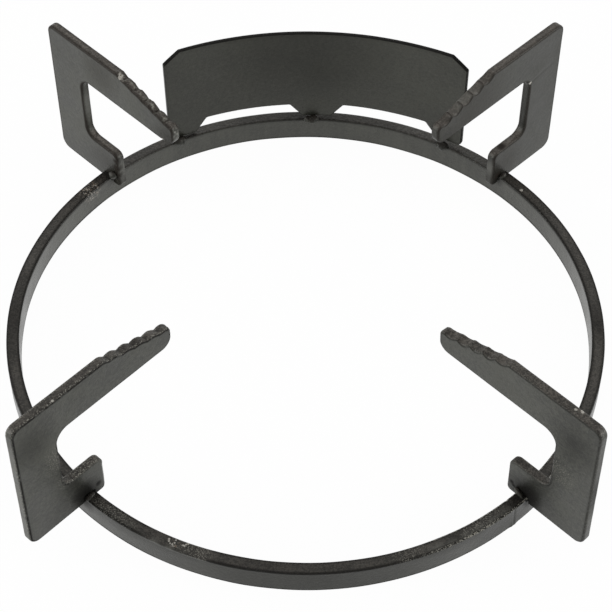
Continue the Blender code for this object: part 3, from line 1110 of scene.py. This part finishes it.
def plain_colour(masks, look):
    """Cloudy and sandy on upright faces, mottled brown on tops; each piece's levels partly paint light and
    shade.
    """
    sides = masks.broad * 0.3 + masks.cloud * 0.25 + masks.grain * 0.25 + masks.fine * 0.2
    drawn = patches(vector_maths(masks.own, "MULTIPLY", (1, 1, STREAK_STRETCH)), STREAK_SCALE)
    sides = sides * (1 - look["streaks"]) + drawn * look["streaks"]
    sides = sides.between(0.5 - look["grain"], 0.5 + look["grain"])
    inner, outer = (
        sides.blend(tinted(SIDE_DARK, look["sides"] * share), tinted(SIDE_LIGHT, look["sides"] * share))
        for share in (1, look["outer"])
    )
    # On the ring the outer face takes the outer share, which makes it darker: painted shade.
    level = vector_maths(masks.place, "MULTIPLY", (1, 1, 0))
    radius = level.node("VectorMath", {0: level}, {"operation": "LENGTH"}, "Value")
    upright = radius.between(BAR_MIDDLE_RADIUS, BAR_MIDDLE_RADIUS + OUTER_FADE).blend(inner, outer)
    mottle = (masks.cloud * 0.25 + masks.grain * 0.35 + masks.fine * 0.4).between(0.42, 0.6)
    mottle = MOTTLE_MIDDLE + (mottle - MOTTLE_MIDDLE) * look["mottle"]
    top = mottle.blend(tinted(TOP_DARK, look["tops"]), tinted(TOP_LIGHT, look["tops"]))
    return masks.up.blend(upright, top)


def bare_specks(masks, look):
    """Where the steel comes through in fine dots."""
    dots = masks.prick.between(0.6 - 0.06 * look["pricks"], 0.68 - 0.06 * look["pricks"])
    specks = dots * masks.edge.between(0.25, 0.7) * masks.rim.between(0.3, 0.7) * look["pricks"]
    specks = specks.greater(masks.prick.between(0.64, 0.7) * masks.up * look["dust"])
    specks = specks.greater(dots * masks.spot("dust") * 0.6)
    specks = specks.greater(masks.prick.between(0.55, 0.64) * masks.spot("grit") * masks.rim * 0.6)
    along_line = masks.spot("sparks") * masks.line.between(0.7, 0.95)
    return specks.greater(masks.prick.between(0.47, 0.56) * along_line)


def darkness(masks, look, painted_highlight):
    """How much the dark shader hides the coating: soot and crust, and painted shade on edges, tops and
    patches.
    """
    ragged = (masks.grain * 0.6 + masks.cloud * 0.4).between(0.34, 0.52)
    kept = (ragged * look["ragged"] + (1 - look["ragged"])) * (1 - masks.spot("clean"))
    dark = (masks.edge * look["bands"]).greater(masks.up * look["caps"])
    dark = dark.greater(masks.spot("shade_patches") * SHADE_PATCH_DEPTH)
    dark = dark.greater(masks.spot("crust") * masks.rim * CRUST_DEPTH)
    dark = dark * (1 - painted_highlight * 0.8)
    dark = dark.greater(masks.line * kept * look["lines"])
    return dark.greater(masks.spot("soot_and_shade") * SOOT_AND_SHADE_DEPTH)


print("parts of the coating ready")

# %% The coating
def black_coat(name, seed, look, spots):
    """The coating of one piece.

    Look gives sides, tops and dust, and numbers that differ from the plain look; sides and tops set each
    piece's brightness, partly its own tone and partly painted light and shade. Spots lists (x, y, z,
    radius) in mm by kind: marks are worn bare, scuffs are rubbed and rusty, dust is speckled, shade
    patches are dull painted shade, soot is black, burnt near welds and painted shade elsewhere, clean
    spots have no dark line, and sparks dot that line with steel. On the rim alone, glints are painted
    highlights on the rough cut, pale spots are painted highlights, crust is darker and grit is speckled.
    """
    look = PLAIN_LOOK | look
    material, start = empty_material(name)
    masks = Masks(start, seed, spots)
    painted_highlight = masks.spot("pale") * masks.rim
    glints = masks.spot("glints") * masks.rim * masks.grain.between(0.54, 0.66)
    specks = bare_specks(masks, look)
    scuffed = masks.spot("scuffs") * (masks.fine * 0.3 + masks.grain * 0.7).between(0.46, 0.62)
    worn = masks.spot("marks")

    colour = (painted_highlight * PALE_HIGHLIGHT_SHARE).blend(plain_colour(masks, look), PALE_HIGHLIGHT)
    colour = (glints * GLINT_SHARE).blend(colour, GLINT)
    colour = specks.blend(colour, PINPRICK)
    colour = scuffed.blend(colour, masks.prick.between(0.45, 0.6).blend(RUST, BARE_STEEL))
    colour = worn.blend(colour, masks.fine.between(0.3, 0.45).blend(RUST, BARE_STEEL))
    roughness = look["roughness"] + (masks.cloud - 0.5) * 0.3 + masks.up * 0.08
    relief = masks.fine * 0.4 + masks.grain * (0.5 + masks.rim * 0.6) + masks.cloud * 0.4
    relief = relief + scuffed * 0.6 - worn * 0.5
    bump = start.node("Bump", {"Strength": 0.6, "Distance": BUMP_DEPTH, "Height": relief})

    coat = start.node("BsdfPrincipled", {
        "Base Color": colour, "Roughness": roughness, "Normal": bump,
        "Specular IOR Level": look["gloss"], "Specular Tint": WARM_GLOSS,
    })
    # The second shader is dark grime, and it also paints shade wherever the darkness mask puts it.
    grime_and_shade = start.node("BsdfPrincipled", {
        "Base Color": look["grime_and_shade"], "Roughness": GRIME_AND_SHADE_ROUGHNESS, "Normal": bump,
        "Specular IOR Level": GRIME_AND_SHADE_GLOSS,
    })
    bare = specks.greater(scuffed).greater(worn)
    dark = darkness(masks, look, painted_highlight) * (1 - bare)
    mixed = start.node("MixShader", {0: dark, 1: coat, 2: grime_and_shade})
    start.node("OutputMaterial", {"Surface": mixed})
    return material


def finish(node, material):
    pieces[node].data.materials.append(material)


print("coating ready")

# %% [markdown]
# Each arm gets its own coat, and its spots are given in the arm's own frame: x outward, y across the
# plate and z up. The sides and tops of each arm get their own brightness, partly painted light and
# shade. The front arms have black lines, dotted edges, and soot and painted shade all over the foot. The
# rear arms are smoother, with soft brown bands along their edges and soot only close to the weld.

# %% Coat the arms
FRONT_LOOK = {"sides": 0.9, "pricks": 0.8, "dust": 0.2, "lines": 0.95, "ragged": 0.8, "bands": 0.25}
REAR_LOOK = {
    "pricks": 0.06, "dust": 0.0, "lines": 0.75, "ragged": 0.3, "bands": 0.62, "grime_and_shade": BROWN_GRIME_AND_SHADE,
}
# The soot near the front feet reaches far up the foot: partly soot, and partly painted shade.
FRONT_SOOT_AND_SHADE = [(3, 0, 13.8, 12.2), (-1, 0, 10.5, 6)]
# Shade patches paint shade on the upper column and the foot; pale spots and glints paint highlights.
ARM_COATS = {
    "front_left": (FRONT_LOOK | {"tops": 1.14}, {
        "soot_and_shade": FRONT_SOOT_AND_SHADE + [(-3.7, 2, 13.3, 3)],
        "shade_patches": [(8, 0, 15, 20), (24, 0, 64, 15)],
        "clean": [(0, 2, 26.8, 9.5)],
        "crust": [(-28.5, 0, 73.5, 9.5)],
        "grit": [(1, 0, 26.8, 11)],
        "pale": [(30.2, 0, 18, 15), (30.2, 0, 37, 17), (30.2, 0, 58, 16)],
        "dust": [(12, 2, 46, 11), (8, 2, 32, 9)],
    }),
    "front_right": (FRONT_LOOK | {
        "tops": 1.36, "pricks": 0.3, "lines": 0.6, "ragged": 1.0, "grain": 0.085,
    }, {
        "soot_and_shade": FRONT_SOOT_AND_SHADE + [(-5, -2, 13.9, 2.2), (-4, -2, 12.6, 2.2)],
        "shade_patches": [(8, 0, 15, 20), (20, 0, 62, 16)],
        "clean": [(0, -2, 26.8, 11.5)],
        "crust": [(-5.5, 0, 26.2, 12.5), (11.5, 0, 43, 30), (30.2, 0, 40, 20)],
        "dust": [(13.5, -2, 42, 12)],
    }),
    "rear_left": (REAR_LOOK | {
        "sides": 0.755, "tops": 2.15, "mottle": 0.75, "dust": 0.15, "lines": 0.9, "bands": 0.86,
    }, {
        # Soot at the weld, then three spots up the leg's inner edge that paint a line of shade.
        "soot_and_shade": [
            (-2, 0, 11, 6.2), (-6.2, 1.9, 15, 3.6), (-6.2, 1.9, 19, 3.6), (-6.2, 1.9, 23, 3.2),
        ],
        "shade_patches": [(-2, 0, 72, 15), (-42, 0, 64, 10), (0, 0, 17, 16)],
        "pale": [(-7.4, -0.8, 18, 8.5), (-45.5, 0.5, 64, 6), (11.5, 0, 43, 11)],
        "glints": [(-28.5, 0, 73.5, 16), (-44.8, 0.5, 64, 5)],
    }),
    "rear_right": (REAR_LOOK | {"sides": 0.49, "tops": 2.05, "mottle": 0.6}, {
        "soot_and_shade": [(0, 0, 9.5, 5), (-3.8, -2, 12.5, 3.8), (-1, 0, 26.8, 3.6)],
        "shade_patches": [(-25, 0, 68, 30), (0, 0, 17, 17)],
        "pale": [(-28.5, 0, 73.5, 15), (-7.4, -0.8, 18, 6)],
    }),
}
for seed, (name, (look, spots)) in enumerate(ARM_COATS.items(), 1):
    spots = spots | {"marks": ARMS[name]["marks"]}
    finish("arm_" + name, black_coat("coat_" + name, seed, look, spots))
print("arms coated:", len(ARM_COATS))

# %% [markdown]
# The ring's top is chipped and rubbed in places, mostly at the front, and burnt under each arm. Its sides
# are smooth, with faint streaks from rolling. Most spots are placed by azimuth, counted from the right.

# %% Coat the ring
# Outer darkens the outer face, and the bands darken the inner top and upper outer side: painted shade.
RING_LOOK = {
    "sides": 0.8, "tops": 0.93, "gloss": 0.62, "roughness": 0.3, "pricks": 0.03, "dust": 0.12,
    "lines": 0.85, "ragged": 0.3, "bands": 0.34, "streaks": 0.2, "outer": 0.55,
}
# The pale bands at these radii paint a highlight along the outer top edge of the ring's front.
RIGHT_HIGHLIGHT_RADIUS = 0.1208
LEFT_HIGHLIGHT_RADIUS = 0.1212
CHIP_SIZE = 0.5
CHIPS = [
    (-50.7, -104.9), (-50.8, -105.8), (-50.4, -106.7), (-49.5, -107.1), (-48.7, -106.6), (-48.2, -105.4),
    (-45.7, -107.7), (-45.0, -107.9), (-44.4, -107.3), (-43.7, -107.0),
]


def on_bar(azimuth, size, radius=BAR_MIDDLE_RADIUS):
    """A spot on the level of the bar's top."""
    angle = math.radians(azimuth)
    return (radius * math.cos(angle) / MM, radius * math.sin(angle) / MM, BAR_HEIGHT / MM, size)


RING_SPOTS = {
    "marks": [(91.9, 72.2, 11.3, 0.9)] + [(x, y, 11.3, CHIP_SIZE) for x, y in CHIPS],
    "scuffs": [(-92.5, 72.2, 11.3, 6.2), (-48, -107.5, 11.3, 3)],
    "soot_and_shade": [on_bar(arm["stance"][0], 10.0 if "front" in name else 7.5) for name, arm in ARMS.items()],
    "clean": [(0, 120, 10, 110), on_bar(-114, 16.0)],
    "sparks": [on_bar(-52, 45.0, 0.1195)],
    "crust": [(-117, 0, 11.3, 45), (117, 0, 11.3, 20), (0, 117, 11.3, 65)],
    # These patches paint shade on the ring's front and on its lower front right.
    "shade_patches": [(0, -120, 0, 75), (78, -90, 0, 30)],
    "grit": [on_bar(-56, 19.0), on_bar(-72, 10.0), on_bar(-111, 10.0), on_bar(-128, 14.0)],
    "pale": [on_bar(azimuth, 5.2, RIGHT_HIGHLIGHT_RADIUS) for azimuth in range(-66, -50, 3)]
    + [on_bar(azimuth, 3.6, LEFT_HIGHLIGHT_RADIUS) for azimuth in range(-130, -114, 3)],
}
finish("ring", black_coat("coat_ring", 11, RING_LOOK, RING_SPOTS))
print("ring coated, with chips:", len(CHIPS))

# %% Coat the shield and the beads
# Caps paint shade on the shield's top edge, and its shade patches paint shade on its middle and top.
SHIELD_LOOK = {
    "sides": 0.93, "tops": 0.5, "gloss": 0.42, "pricks": 0.0, "dust": 0.0, "bands": 0.6, "caps": 0.85,
    "grain": 0.2,
}
SHIELD_SPOTS = {
    "marks": [(-45, 110, 57, 0.7), (31, 115, 58, 0.7)],
    "shade_patches": [(-8, 115, 52, 48), (0, 115, 40, 30)],
}
# Caps paint shade on the tops of the beads.
BEAD_LOOK = {"sides": 0.7, "tops": 0.6, "gloss": 0.4, "dust": 0.15, "caps": 0.4, "grime_and_shade": BROWN_GRIME_AND_SHADE}
finish("heat_shield", black_coat("coat_shield", 13, SHIELD_LOOK, SHIELD_SPOTS))
bead_coat = black_coat("coat_bead", 17, BEAD_LOOK, {})
for node in pieces:
    if node.startswith("weld"):
        finish(node, bead_coat)
print("pieces finished:", len(pieces))

# %% [markdown]
# ## Colour as written
#
# The Standard view shows each colour as it was written.

# %% Colour as written
bpy.context.scene.view_settings.view_transform = "Standard"
